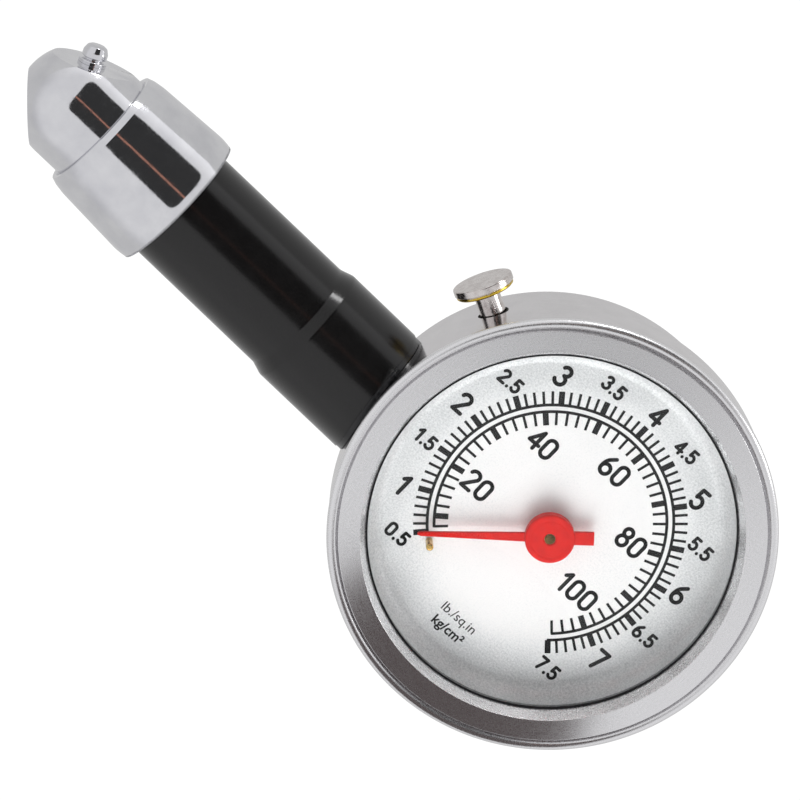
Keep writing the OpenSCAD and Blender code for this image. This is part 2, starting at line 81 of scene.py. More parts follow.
def make_camera():
    data = bpy.data.cameras.new("camera")
    data.lens = CAMERA_LENS
    data.clip_start = 0.01
    camera = bpy.data.objects.new("camera", data)
    bpy.context.scene.collection.objects.link(camera)
    place = Matrix((RIGHT, UP, BACK)).transposed().to_4x4()
    place.translation = AIM + ASIDE * RIGHT + ABOVE * UP + CAMERA_DISTANCE * BACK
    camera.matrix_world = place
    bpy.context.scene.camera = camera


make_camera()


# ---------------------------------------------------------------- places, from the frame

def middle(node):
    lo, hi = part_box(node)
    return (lo + hi) / 2


def axis_frame(origin, direction):
    """Matrix whose +Z runs along direction from origin, with +X level."""
    z = direction.normalized()
    x = Vector((0, 0, 1)).cross(z)
    x = x.normalized() if x.length > 1e-6 else Vector((1, 0, 0))
    m = Matrix((x, z.cross(x), z)).transposed().to_4x4()
    m.translation = origin
    return m


def section(node, place):
    """(radius, height) in mm of a CAD node's points about the axis of place."""
    inverse = place.inverted()
    points = [inverse @ v.co for v in frame["nodes"][node].data.vertices]
    return [(math.hypot(p.x, p.y) / MM, p.z / MM) for p in points]


def extent(node, place):
    """Lowest and highest point of a CAD node along the axis of place, and its widest radius, in mm."""
    radii, heights = zip(*section(node, place))
    return min(heights), max(heights), max(radii)


UPRIGHT = Matrix.Identity(4)
IN_NECK = Vector(joints["poppet_slide"]["axis"])
NECK_MIDDLE = middle("check_seat")
NECK = axis_frame(NECK_MIDDLE - IN_NECK * (NECK_MIDDLE.x / IN_NECK.x), -IN_NECK)
BUTTON_OUT = -Vector(joints["button_press"]["axis"])
BUTTON_MIDDLE = middle("button_seal")
BUTTON = axis_frame(BUTTON_MIDDLE - BUTTON_OUT * BUTTON_MIDDLE.dot(BUTTON_OUT), BUTTON_OUT)
INLET_OUT = Vector(mounts["valve_inlet"]["axis"])
POINTER_AXIS = Vector((joints["pointer_spin"]["pos_m"][0], joints["pointer_spin"]["pos_m"][1], 0))

CASE_R = extent("case", UPRIGHT)[2]
CASE_TOP = extent("case", UPRIGHT)[1]
LEDGE_Z = min(z for r, z in section("case", UPRIGHT) if r > CASE_R - 0.3)
REAR_R = max(r for r, z in section("case", UPRIGHT) if z < LEDGE_Z - 1)
BEZEL_TOP = extent("bezel", UPRIGHT)[1]
BEZEL_R = extent("bezel", UPRIGHT)[2]
DIAL_Z = extent("dial", UPRIGHT)[1]
CRYSTAL_LOW, CRYSTAL_TOP, CRYSTAL_R = extent("crystal", UPRIGHT)
HEAD_LOW, HEAD_TOP, HEAD_R = extent("chuck_head", NECK)
BALL_U = HEAD_TOP - HEAD_R
VIEW_R = BEZEL_R - 4.4


def on_head(direction):
    """Matrix at the ball's centre, with +Z along direction."""
    return axis_frame(NECK @ Vector((0, 0, BALL_U * MM)), direction)


DEFLATOR_PIN = middle("deflator_pin")
DEFLATOR_OUT = DEFLATOR_PIN - NECK @ Vector((0, 0, BALL_U * MM))


# ---------------------------------------------------------------- mesh helpers

def link(name, mesh, place=UPRIGHT):
    piece = bpy.data.objects.new(name, mesh)
    bpy.context.scene.collection.objects.link(piece)
    piece.matrix_world = place
    return piece


def finish_mesh(bm, name, sharp=30):
    """Mesh from bm, with its faces turned outward and smooth between edges sharper than an angle."""
    bmesh.ops.remove_doubles(bm, verts=bm.verts, dist=1e-7)
    bmesh.ops.recalc_face_normals(bm, faces=bm.faces)
    mesh = bpy.data.meshes.new(name)
    bm.to_mesh(mesh)
    bm.free()
    mesh.shade_smooth()
    mesh.set_sharp_from_angle(angle=math.radians(sharp))
    return mesh


def rounded(corners, steps=6, hold=0.08):
    """Closed outline in mm through corners (x, y, radius), with each corner rounded by an arc."""
    outline = []
    count = len(corners)
    for i, (x, y, radius) in enumerate(corners):
        here = Vector((x, y))
        if radius <= 0:
            outline.append(here)
            continue
        to_last = (Vector(corners[i - 1][:2]) - here).normalized()
        to_next = (Vector(corners[(i + 1) % count][:2]) - here).normalized()
        half = to_last.angle(to_next) / 2
        reach = radius / math.tan(half)
        centre = here + (to_last + to_next).normalized() * (radius / math.sin(half))
        start = here + to_last * reach - centre
        turn = start.angle_signed(here + to_next * reach - centre)
        outline.append(here + to_last * (reach + hold * radius))
        for k in range(steps + 1):
            a = -turn * k / steps
            c, s = math.cos(a), math.sin(a)
            outline.append(centre + Vector((start.x * c - start.y * s, start.x * s + start.y * c)))
        outline.append(here + to_next * (reach + hold * radius))
    return outline


def turned(name, outline, place=UPRIGHT, segments=192):
    """Solid of revolution about the axis of place, from a closed outline of (radius, height) in mm."""
    bm = bmesh.new()
    rings = []
    for r, h in outline:
        if r < 1e-4:
            rings.append([bm.verts.new((0, 0, h * MM))])
            continue
        rings.append([bm.verts.new((r * MM * math.cos(TURN * i / segments),
                                    r * MM * math.sin(TURN * i / segments), h * MM))
                      for i in range(segments)])
    for one, two in zip(rings, rings[1:] + rings[:1]):
        for i in range(segments):
            j = (i + 1) % segments
            corners = [one[i % len(one)], one[j % len(one)], two[j % len(two)], two[i % len(two)]]
            corners = list(dict.fromkeys(corners))
            if len(corners) > 2:
                bm.faces.new(corners)
    return link(name, finish_mesh(bm, name), place)


def slab(bm, points, low, high):
    """Adds a flat prism to bm: a convex outline in mm, raised from low to high."""
    bottom = [bm.verts.new((p[0] * MM, p[1] * MM, low * MM)) for p in points]
    top = [bm.verts.new((p[0] * MM, p[1] * MM, high * MM)) for p in points]
    bm.faces.new(top)
    bm.faces.new(bottom[::-1])
    for i in range(len(points)):
        j = (i + 1) % len(points)
        bm.faces.new((bottom[i], bottom[j], top[j], top[i]))


def apply_all(piece):
    """Piece with its modifiers made part of its mesh."""
    bpy.context.view_layer.update()
    done = piece.evaluated_get(bpy.context.evaluated_depsgraph_get())
    mesh = bpy.data.meshes.new_from_object(done)
    piece.modifiers.clear()
    piece.data = mesh
    return piece


def cut(piece, *cutters):
    """Piece with the cutters taken away from it."""
    for cutter in cutters:
        step = piece.modifiers.new("cut", "BOOLEAN")
        step.operation = "DIFFERENCE"
        step.solver = "EXACT"
        step.object = cutter
    apply_all(piece)
    for cutter in cutters:
        bpy.data.objects.remove(cutter)
    piece.data.shade_smooth()
    piece.data.set_sharp_from_angle(angle=math.radians(30))
    return piece


def dress(piece, body, material, slot_name, *nodes):
    """Gives a piece its material and body, and hides the CAD nodes it stands for."""
    piece.data.materials.clear()
    piece.data.materials.append(material)
    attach(piece, body)
    if nodes:
        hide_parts(*nodes)
    return piece


# ---------------------------------------------------------------- material helpers

class Nodes:
    """Short ways to add nodes to one node tree, which starts empty."""

    def __init__(self, tree):
        self.tree = tree
        self.tree.nodes.clear()

    def add(self, kind, **settings):
        node = self.tree.nodes.new(kind)
        for key, value in settings.items():
            setattr(node, key, value)
        return node

    def join(self, source, target):
        self.tree.links.new(source, target)

    def math(self, operation, a, b=None):
        node = self.add("ShaderNodeMath", operation=operation)
        for socket, value in zip(node.inputs, (a, b)):
            if isinstance(value, (int, float)):
                socket.default_value = value
            elif value is not None:
                self.join(value, socket)
        return node.outputs[0]

    def span(self, value, low, high, to_low, to_high):
        """Value from low to high turned smoothly into to_low to to_high."""
        node = self.add("ShaderNodeMapRange", interpolation_type="SMOOTHSTEP")
        for i, number in enumerate((low, high, to_low, to_high)):
            node.inputs[i + 1].default_value = number
        self.join(value, node.inputs[0])
        return node.outputs[0]


class Shader(Nodes):
    """A node material with a Principled shader."""

    def __init__(self, name, **sockets):
        self.material = bpy.data.materials.new(name)
        self.material.use_nodes = True
        super().__init__(self.material.node_tree)
        self.out = self.add("ShaderNodeOutputMaterial")
        self.main = self.add("ShaderNodeBsdfPrincipled")
        for socket, value in sockets.items():
            self.main.inputs[socket.replace("_", " ")].default_value = value
        self.join(self.main.outputs[0], self.out.inputs[0])

    def place(self):
        """Object coordinates in mm."""
        where = self.add("ShaderNodeTexCoord")
        mapping = self.add("ShaderNodeMapping")
        mapping.inputs["Scale"].default_value = [1 / MM] * 3
        self.join(where.outputs["Object"], mapping.inputs["Vector"])
        return mapping.outputs["Vector"]

    def split(self):
        """Object X, Y and Z in mm, each on its own."""
        node = self.add("ShaderNodeSeparateXYZ")
        self.join(self.place(), node.inputs[0])
        return node.outputs

    def merge(self, *parts):
        node = self.add("ShaderNodeCombineXYZ")
        for part, socket in zip(parts, node.inputs):
            self.join(part, socket)
        return node.outputs[0]

    def radius(self, x, y):
        """Distance from the object's Z axis."""
        node = self.add("ShaderNodeVectorMath", operation="LENGTH")
        self.join(self.merge(x, y), node.inputs[0])
        return node.outputs["Value"]

    def polar(self, around, across, along):
        """Coordinates that follow a turned surface: angle, radius and height in mm, each scaled."""
        x, y, z = self.split()
        return self.merge(self.math("MULTIPLY", self.math("ARCTAN2", y, x), around),
                          self.math("MULTIPLY", self.radius(x, y), across),
                          self.math("MULTIPLY", z, along))

    def noise(self, vector, scale=1.0, detail=4.0, roughness=0.5):
        node = self.add("ShaderNodeTexNoise")
        node.inputs["Scale"].default_value = scale
        node.inputs["Detail"].default_value = detail
        node.inputs["Roughness"].default_value = roughness
        self.join(vector, node.inputs["Vector"])
        return node.outputs["Fac"]

    def colours(self, value, *stops):
        """Colour ramp of (place, colour) stops."""
        node = self.add("ShaderNodeValToRGB")
        ramp = node.color_ramp
        while len(ramp.elements) < len(stops):
            ramp.elements.new(0.5)
        for element, (place, colour) in zip(ramp.elements, stops):
            element.position = place
            element.color = (*colour, 1)
        self.join(value, node.inputs["Fac"])
        return node.outputs["Color"]

    def bump(self, height, distance_mm, strength=1.0):
        node = self.add("ShaderNodeBump")
        node.inputs["Strength"].default_value = strength
        node.inputs["Distance"].default_value = distance_mm * MM
        self.join(height, node.inputs["Height"])
        self.join(node.outputs[0], self.main.inputs["Normal"])

    def set(self, socket, source):
        self.join(source, self.main.inputs[socket])


def polished(name, light, dark, low, high, grain):
    """Plated or polished metal: cloudy tint, fine scratches and a faint unevenness."""
    s = Shader(name, Metallic=1.0)
    clouds = s.noise(s.place(), 0.35, 5)
    s.set("Base Color", s.colours(clouds, (0.3, dark), (0.7, light)))
    s.set("Roughness", s.span(s.noise(s.place(), 2.2, 8, 0.7), 0.35, 0.7, low, high))
    s.bump(s.noise(s.place(), grain, 3), 0.004)
    return s.material


# ---------------------------------------------------------------- materials

def chrome():
    return polished("chrome", (0.80, 0.80, 0.82), (0.70, 0.70, 0.73), 0.05, 0.13, 1.2)


def case_plating():
    return polished("case_plating", (0.76, 0.74, 0.75), (0.71, 0.69, 0.70), 0.10, 0.20, 2.0)


def button_nickel():
    """Worn nickel, with a brassy band low on the button's rim."""
    s = Shader("button_nickel", Metallic=1.0)
    worn = s.noise(s.place(), 1.6, 6, 0.65)
    top = extent("release_button", BUTTON)[1]
    height = s.split()[2]
    rim = s.span(s.math("ADD", height, s.math("MULTIPLY", worn, 0.5)), top - 0.72, top - 0.55, 1.0, 0.0)
    under = s.span(height, top - 1.45, top - 1.3, 0.0, 1.0)
    gold = s.math("MULTIPLY", rim, under)
    mix = s.add("ShaderNodeMix", data_type="RGBA")
    s.join(gold, mix.inputs["Factor"])
    s.join(s.colours(worn, (0.36, (0.60, 0.55, 0.53)), (0.60, (0.80, 0.76, 0.74))), mix.inputs["A"])
    mix.inputs["B"].default_value = (0.72, 0.50, 0.06, 1)
    s.set("Base Color", mix.outputs["Result"])
    s.set("Roughness", s.span(worn, 0.3, 0.7, 0.10, 0.30))
    s.bump(s.noise(s.place(), 6, 5), 0.01)
    return s.material


def bezel_satin():
    s = Shader("bezel_satin", Metallic=1.0)
    streaks = s.noise(s.polar(5, 12, 12), 1.4, 6, 0.7)
    speck = s.noise(s.place(), 7, 2)
    s.set("Base Color", s.colours(streaks, (0.25, (0.82, 0.815, 0.825)), (0.75, (0.90, 0.895, 0.905))))
    s.set("Roughness", s.span(s.math("MULTIPLY", streaks, speck), 0.12, 0.4, 0.24, 0.34))
    s.bump(s.math("ADD", streaks, speck), 0.0015)
    return s.material


def dial_silver():
    """White-silver lacquer with cloudy grain, and painted shade: darker and cooler towards the edge."""
    s = Shader("dial_silver", Metallic=0.15, Specular_IOR_Level=0.5)
    x, y, _ = s.split()
    grain = s.noise(s.place(), 4.5, 3, 0.8)
    clouds = s.noise(s.place(), 0.16, 3)
    # Painted shade: the colour darkens and cools from 12 mm to 18 mm out, towards the bezel.
    tone = s.span(s.radius(x, y), 12, 18, 0.0, 0.62)
    tone = s.math("ADD", tone, s.math("MULTIPLY", s.math("SUBTRACT", clouds, 0.5), 0.5))
    tone = s.math("ADD", tone, s.math("MULTIPLY", s.math("SUBTRACT", grain, 0.5), 1.9))
    s.set("Base Color", s.colours(tone, (0.0, (0.90, 0.90, 0.89)), (0.35, (0.80, 0.815, 0.815)),
                                  (1.0, (0.50, 0.52, 0.525))))
    s.set("Roughness", s.span(grain, 0.3, 0.7, 0.30, 0.48))
    s.bump(grain, 0.006)
    return s.material


def printing_ink():
    s = Shader("printing_ink", Specular_IOR_Level=0.15)
    patch = s.noise(s.place(), 4, 5, 0.7)
    s.set("Base Color", s.colours(patch, (0.35, (0.002, 0.002, 0.002)), (0.8, (0.010, 0.010, 0.011))))
    s.set("Roughness", s.span(patch, 0.3, 0.7, 0.45, 0.65))
    s.bump(patch, 0.004)
    return s.material


def pointer_paint():
    s = Shader("pointer_paint", Specular_IOR_Level=0.12)
    tone = s.noise(s.place(), 1.1, 5)
    s.set("Base Color", s.colours(tone, (0.3, (0.58, 0.005, 0.003)), (0.7, (0.72, 0.010, 0.005))))
    s.set("Roughness", s.span(s.noise(s.place(), 8, 3), 0.3, 0.7, 0.34, 0.5))
    s.bump(s.noise(s.place(), 10, 3), 0.006)
    return s.material


def clear_crystal():
    """Clear acrylic that lets lamps through, with faint wipe marks."""
    s = Shader("clear_crystal", Transmission_Weight=1.0, IOR=1.33, Specular_IOR_Level=0.04)
    s.main.inputs["Base Color"].default_value = (0.995, 0.995, 0.995, 1)
    s.set("Roughness", s.span(s.noise(s.place(), 0.8, 6, 0.6), 0.5, 0.8, 0.0, 0.035))
    path = s.add("ShaderNodeLightPath")
    open_air = s.add("ShaderNodeBsdfTransparent")
    open_air.inputs[0].default_value = (0.98, 0.98, 0.98, 1)
    mix = s.add("ShaderNodeMixShader")
    s.join(path.outputs["Is Shadow Ray"], mix.inputs[0])
    s.join(s.main.outputs[0], mix.inputs[1])
    s.join(open_air.outputs[0], mix.inputs[2])
    s.join(mix.outputs[0], s.out.inputs[0])
    return s.material


def sleeve_rubber():
    """Black moulded rubber with a soft gloss, fine pores and faint lengthwise wipe marks."""
    s = Shader("sleeve_rubber", Specular_IOR_Level=0.42, Coat_Weight=0.12, Coat_Roughness=0.12)
    pores = s.noise(s.place(), 5, 6, 0.7)
    wipe = s.noise(s.place(), 0.5, 5, 0.6)
    s.set("Base Color", s.colours(pores, (0.3, (0.003, 0.003, 0.003)), (0.75, (0.009, 0.008, 0.008))))
    s.set("Roughness", s.span(wipe, 0.3, 0.7, 0.14, 0.20))
    s.bump(pores, 0.006)
    return s.material


def black_rubber():
    s = Shader("black_rubber", Specular_IOR_Level=0.35)
    pores = s.noise(s.place(), 6, 5, 0.7)
    s.set("Base Color", s.colours(pores, (0.3, (0.008, 0.008, 0.009)), (0.75, (0.022, 0.022, 0.024))))
    s.set("Roughness", s.span(pores, 0.3, 0.7, 0.5, 0.75))
    s.bump(pores, 0.015)
    return s.material


def black_gloss():
    """Glossy black moulding."""
    s = Shader("black_gloss", Specular_IOR_Level=0.5)
    tone = s.noise(s.place(), 2, 5)
    s.set("Base Color", s.colours(tone, (0.3, (0.004, 0.004, 0.005)), (0.7, (0.014, 0.014, 0.016))))
    s.set("Roughness", s.span(tone, 0.3, 0.7, 0.12, 0.28))
    s.bump(tone, 0.008)
    return s.material


def brass():
    return polished("brass", (0.78, 0.56, 0.20), (0.52, 0.34, 0.10), 0.16, 0.34, 4.0)


def bronze():
    return polished("bronze", (0.60, 0.33, 0.17), (0.38, 0.18, 0.08), 0.24, 0.42, 3.0)


# Brass painted nearly black: painted shade for the pointer arbor's end, down in the hub's recess.
def old_brass():
    return polished("old_brass", (0.26, 0.17, 0.05), (0.06, 0.035, 0.012), 0.25, 0.42, 5.0)


def steel():
    return polished("steel", (0.66, 0.66, 0.68), (0.48, 0.48, 0.50), 0.20, 0.36, 3.0)


def spring_steel():
    return polished("spring_steel", (0.36, 0.40, 0.50), (0.22, 0.25, 0.34), 0.18, 0.32, 4.0)


def white_plastic():
    s = Shader("white_plastic", Subsurface_Weight=0.05)
    tone = s.noise(s.place(), 0.8, 4)
    s.set("Base Color", s.colours(tone, (0.3, (0.70, 0.69, 0.64)), (0.7, (0.78, 0.77, 0.73))))
    s.set("Roughness", s.span(tone, 0.3, 0.7, 0.38, 0.5))
    s.bump(s.noise(s.place(), 5, 4), 0.01)
    return s.material


MATERIALS = {make.__name__: make() for make in (
    chrome, case_plating, button_nickel, bezel_satin, dial_silver, printing_ink, pointer_paint,
    clear_crystal, sleeve_rubber, black_rubber, black_gloss, brass, old_brass, bronze, steel, spring_steel,
    white_plastic)}


# ---------------------------------------------------------------- case, bezel and window

def make_case():
    """Drawn two-step cup: rear cup with a round back edge, a ledge and the wider front band."""
    wall = 0.8
    inner = REAR_R - wall
    cup = turned("case_shell", rounded([
        (0, 0, 0), (REAR_R, 0, 1.2), (REAR_R, LEDGE_Z, 0.3), (CASE_R, LEDGE_Z, 0.3),
        (CASE_R, CASE_TOP, 0.15), (CASE_R - wall, CASE_TOP, 0.15), (CASE_R - wall, LEDGE_Z + wall, 0.2),
        (inner, LEDGE_Z + wall, 0.3), (inner, wall, 0.4), (0, wall, 0)]))
    start, end = 15, 30
    cut(cup, *(turned("hole", [(0, start), (r, start), (r, end), (0, end)], place, 64)
               for place, r in ((NECK, 3.05), (BUTTON, extent("button_seal", BUTTON)[2]))))
    dress(cup, "body", MATERIALS["case_plating"], "case_metal", "case")


def make_bezel():
    """Pressed ring: outer bead, thin groove, satin slope, bright lip and the skirt in the case."""
    bead_r = 0.6
    bead_z = BEZEL_TOP - 0.8
    slope_r = BEZEL_R - 1.2
    window_r = BEZEL_R - 3.7
    skirt_r, skirt_z = CASE_R - 0.85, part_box("bezel")[0].z / MM
    inner_r = 22.4
    bead = [(BEZEL_R - bead_r + bead_r * math.cos(a), bead_z + bead_r * math.sin(a))
            for a in (math.radians(-70 + 10 * i) for i in range(21))]
    rest = rounded([
        (slope_r + 0.05, bead_z + 0.12, 0.05), (slope_r - 0.10, bead_z + 0.56, 0.08),
        (window_r + 0.30, BEZEL_TOP - 0.12, 0.3), (window_r, BEZEL_TOP - 0.10, 0.06),
        (VIEW_R, CRYSTAL_TOP, 0.05), (inner_r, CRYSTAL_TOP, 0), (inner_r, skirt_z, 0.1),
        (skirt_r, skirt_z, 0.1), (skirt_r, CASE_TOP, 0), (CASE_R - 0.1, CASE_TOP, 0)], 5)
    ring = turned("bezel_ring", bead + [tuple(p) for p in rest], segments=256)
    dress(ring, "body", MATERIALS["bezel_satin"], "bezel_metal", "bezel")


def make_window():
    """Flat clear pane, with a thin black ring just inside the bezel's lip as painted shadow for the gap
    there.
    """
    edge = 0.12
    pane = turned("window_crystal", rounded([
        (0, CRYSTAL_LOW, 0), (CRYSTAL_R, CRYSTAL_LOW, edge), (CRYSTAL_R, CRYSTAL_TOP, edge),
        (0, CRYSTAL_TOP, 0)], 4), segments=128)
    dress(pane, "body", MATERIALS["clear_crystal"], "crystal_clear", "crystal")
    # Painted shadow: a black ring that stands in for the shade in the gap at the bezel's lip.
    inner, outer, top = VIEW_R - 0.16, VIEW_R + 0.1, CRYSTAL_TOP + 0.1
    line = turned("painted_shadow_ring", [(inner, CRYSTAL_TOP), (outer, CRYSTAL_TOP), (outer, top), (inner, top)],
                  segments=256)
    dress(line, "body", MATERIALS["black_rubber"], "black_rubber")


def make_dial_ring():
    """Sloping ring between the dial's edge and the window."""
    low, high, outer = extent("dial_ring", UPRIGHT)
    start, end = BEZEL_R - 6.4, BEZEL_R - 4.5
    cove = [(start + (end - start) * math.sin(a), low + 0.01 + (high - low) * (1 - math.cos(a)))
            for a in (math.radians(6 * i) for i in range(16))]
    ring = turned("dial_slope", cove + [(outer, high), (outer, low), (start, low)])
    # It takes the dial's lacquer, so it carries that material's painted shade at full strength.
    dress(ring, "body", MATERIALS["dial_silver"], "white_plastic", "dial_ring")


# ---------------------------------------------------------------- printed scales

SCALE_FIRST = 226.5     # degrees, where 0.5 kg/cm2 stands
SCALE_SWEEP = 39.19     # degrees for each kg/cm2
PSI_PER_KG = 14.2233
PSI_FIRST, PSI_LAST = 8, 106
GAP_R = 13.37           # middle of the gap between the two arcs, mm
GAP_HALF = 0.22
LINE_W = 0.33
TICK_LEN = 1.4
TICK_W = 0.30
MAJOR_W = 0.66
INK_LOW = DIAL_Z + 0.002
INK_TOP = DIAL_Z + 0.022


def scale_angle(kg):
    return math.radians(SCALE_FIRST - (kg - 0.5) * SCALE_SWEEP)


def on_circle(r, a):
    return Vector((r * math.cos(a), r * math.sin(a)))


def add_arc(bm, r_in, r_out, a0, a1, steps=150):
    """Adds a thin printed arc to bm as one closed ribbon."""
    rows = []
    for i in range(steps + 1):
        a = a0 + (a1 - a0) * i / steps
        rows.append([bm.verts.new((*(on_circle(r, a) * MM), z * MM))
                     for r, z in ((r_in, INK_LOW), (r_out, INK_LOW), (r_out, INK_TOP), (r_in, INK_TOP))])
    for one, two in zip(rows, rows[1:]):
        for k in range(4):
            bm.faces.new((one[k], one[(k + 1) % 4], two[(k + 1) % 4], two[k]))
    bm.faces.new(rows[0])
    bm.faces.new(rows[-1][::-1])


def add_tick(bm, a, r_in, r_out, width):
    side = on_circle(width / 2, a + math.pi / 2)
    ends = on_circle(r_in, a), on_circle(r_out, a)
    slab(bm, (ends[0] - side, ends[1] - side, ends[1] + side, ends[0] + side), INK_LOW, INK_TOP)


def make_scales():
    """Two printed arcs with their ticks: kg/cm2 outside, psi inside."""
    bm = bmesh.new()
    half = math.radians(0.55)
    outer = GAP_R + GAP_HALF
    inner = GAP_R - GAP_HALF
    add_arc(bm, outer, outer + LINE_W, scale_angle(0.5) + half, scale_angle(7.5) - half)
    for tenth in range(5, 76):
        major = tenth % 5 == 0
        add_tick(bm, scale_angle(tenth / 10), outer + LINE_W * 0.5, outer + LINE_W + TICK_LEN,
                 MAJOR_W if major else TICK_W)
    add_arc(bm, inner - LINE_W, inner, scale_angle(PSI_FIRST / PSI_PER_KG) + half,
            scale_angle(PSI_LAST / PSI_PER_KG) - half)
    for psi in range(PSI_FIRST, PSI_LAST + 1, 2):
        major = psi % 10 == 0
        add_tick(bm, scale_angle(psi / PSI_PER_KG), inner - LINE_W - TICK_LEN, inner - LINE_W * 0.5,
                 MAJOR_W if major else TICK_W)
    marks = link("scale_marks", finish_mesh(bm, "scale_marks"))
    dress(marks, "body", MATERIALS["printing_ink"], "dial_white")


def bow(cx, cy, rx, ry, start, end, steps=14):
    """Points of an elliptic arc, angles in degrees."""
    return [(cx + rx * math.cos(math.radians(start + (end - start) * i / steps)),
             cy + ry * math.sin(math.radians(start + (end - start) * i / steps)))
            for i in range(steps + 1)]


GLYPH_W = 0.44
HALF_W = GLYPH_W / 2
# Pen strokes of each character, in parts of its height
GLYPHS = {
    "0": [bow(HALF_W, 0.74, HALF_W, 0.26, 0, 180) + bow(HALF_W, 0.26, HALF_W, 0.26, 180, 360)
          + [(GLYPH_W, 0.74)]],
    "1": [[(0.03, 0.76), (0.24, 1.0), (0.24, 0.0)]],
    "2": [bow(HALF_W, 0.76, HALF_W, 0.24, 165, -28) + [(0.0, 0.0), (GLYPH_W, 0.0)]],
    "3": [bow(0.21, 0.77, 0.20, 0.23, 155, -82) + bow(0.21, 0.27, 0.23, 0.27, 82, -155)],
    "4": [[(0.36, 0.0), (0.36, 1.0), (0.0, 0.28), (0.50, 0.28)]],
    "5": [[(0.40, 1.0), (0.07, 1.0), (0.04, 0.54)] + bow(0.20, 0.31, 0.23, 0.31, 128, -150)],
    "6": [[(0.32, 1.0)] + bow(0.30, 0.36, 0.30, 0.52, 118, 180)
          + bow(HALF_W, 0.27, HALF_W, 0.27, 180, 540, 24)],
    "7": [[(0.0, 1.0), (GLYPH_W, 1.0), (0.14, 0.0)]],
    "8": [bow(HALF_W, 0.77, 0.19, 0.23, -90, 270, 24) + bow(HALF_W, 0.27, HALF_W, 0.27, 90, 450, 24)],
    ".": [[(0.0, 0.0), (0.0, 0.03)]],
}
NARROW = {"1": 0.30, ".": 0.0}


def add_stroke(bm, points, width):
    """Adds one pen stroke of constant width with round ends, as short overlapping links."""
    for one, two in zip(points, points[1:]):
        way = (two - one).normalized() if (two - one).length > 1e-6 else Vector((0, 1))
        turn = math.atan2(way.y, way.x)
        rim = [two + on_circle(width / 2, turn + math.radians(a)) for a in range(-90, 91, 30)]
        rim += [one + on_circle(width / 2, turn + math.radians(a)) for a in range(90, 271, 30)]
        slab(bm, rim, INK_LOW, INK_TOP)


def add_number(bm, text, centre, height, width):
    """Adds a number with its middle at centre, upright along +Y."""
    gap = width + 0.08 * height
    x = centre.x - (sum(NARROW.get(c, GLYPH_W) for c in text) * height + (len(text) - 1) * gap) / 2
    inset = height - width
    for c in text:
        for stroke in GLYPHS[c]:
            points = [Vector((x + p[0] * height, centre.y - inset / 2 + p[1] * inset)) for p in stroke]
            add_stroke(bm, points, width)
        x += NARROW.get(c, GLYPH_W) * height + gap


def make_numbers():
    """Upright numbers: large for whole kg/cm2 and for psi, small for the halves between."""
    bm = bmesh.new()
    large, small = 2.7, 1.8
    for half_kg in range(1, 16):
        value = half_kg / 2
        radius = 16.8 if value in (5, 6) else 17.1
        lead = 1.8 if 4.5 <= value <= 6 else 0.2
        centre = on_circle(radius, scale_angle(value) + math.radians(lead))
        if half_kg % 2 == 0:
            add_number(bm, str(half_kg // 2), centre, large, 0.46)
        else:
            add_number(bm, f"{value:.1f}", centre, small, 0.36)
    for psi in range(20, 101, 20):
        radius = 8.55 if psi == 100 else 9.3
        centre = on_circle(radius, scale_angle(psi / PSI_PER_KG) + math.radians(3.0))
        add_number(bm, str(psi), centre, large, 0.44)
    numbers = link("scale_numbers", finish_mesh(bm, "scale_numbers"))
    dress(numbers, "body", MATERIALS["printing_ink"], "dial_white")


def make_units():
    """Names of the two units, printed near the bottom of the dial."""
    size = 1.62
    for name, text, y, weight in (("unit_psi", "lb./sq.in", -15.55, 0.0),
                                  ("unit_kg", "kg/cm²", -17.4, 0.022)):
        curve = bpy.data.curves.new(name, "FONT")
        curve.body = text
        curve.align_x = "CENTER"
        curve.size = size * MM
        curve.offset = weight * size * MM
        curve.extrude = (INK_TOP - INK_LOW) / 2 * MM
        words = bpy.data.objects.new(name, curve)
        bpy.context.scene.collection.objects.link(words)
        words.location = (0.1 * MM, y * MM, (INK_TOP + INK_LOW) / 2 * MM)
        bpy.context.view_layer.update()
        mesh = bpy.data.meshes.new_from_object(words.evaluated_get(bpy.context.evaluated_depsgraph_get()))
        place = words.matrix_world.copy()
        bpy.data.objects.remove(words)
        dress(link(name, mesh, place), "body", MATERIALS["printing_ink"], "dial_white")


# ---------------------------------------------------------------- pointer and stop pin

def make_pointer():
    """Red pointer: tapered blade, square tail and a low hub with a faint ring on top."""
    low, top, reach = extent("pointer", Matrix.Translation(POINTER_AXIS))
    tip = max((v.co - POINTER_AXIS for v in frame["nodes"]["pointer"].data.vertices),
              key=lambda p: math.hypot(p.x, p.y))
    place = Matrix.Translation(POINTER_AXIS) @ Matrix.Rotation(math.atan2(tip.y, tip.x), 4, "Z")
    hub_r = 2.8
    bore = 0.62
    hub = turned("pointer_hub", rounded([
        (bore, low, 0), (hub_r, low, 0.1), (hub_r, top, 0.22), (2.28, top, 0.05), (2.2, top - 0.03, 0.03),
        (2.05, top - 0.03, 0.03), (1.97, top, 0.05), (0.75, top, 0.05), (bore, top - 0.12, 0.03)], 4),
        place, 128)
    dress(hub, "pointer", MATERIALS["pointer_paint"], "pointer_red", "pointer")
    bm = bmesh.new()
    blade_low, blade_top = low + 0.3, low + 0.8
    slab(bm, [(1.5, -0.55), (reach - 0.35, -0.235), (reach, -0.12), (reach, 0.12), (reach - 0.35, 0.235),
              (1.5, 0.55)], blade_low, blade_top)
    tail, tail_half = 4.95, 0.76
    slab(bm, [(-tail, -tail_half), (-1.5, -tail_half), (-1.5, tail_half), (-tail, tail_half)],
         blade_low, blade_top)
    blade = link("pointer_blade", finish_mesh(bm, "pointer_blade"), place)
    edge = blade.modifiers.new("edge", "BEVEL")
    edge.width = 0.07 * MM
    edge.segments = 3
    apply_all(blade)
    dress(blade, "pointer", MATERIALS["pointer_paint"], "pointer_red", "pointer")


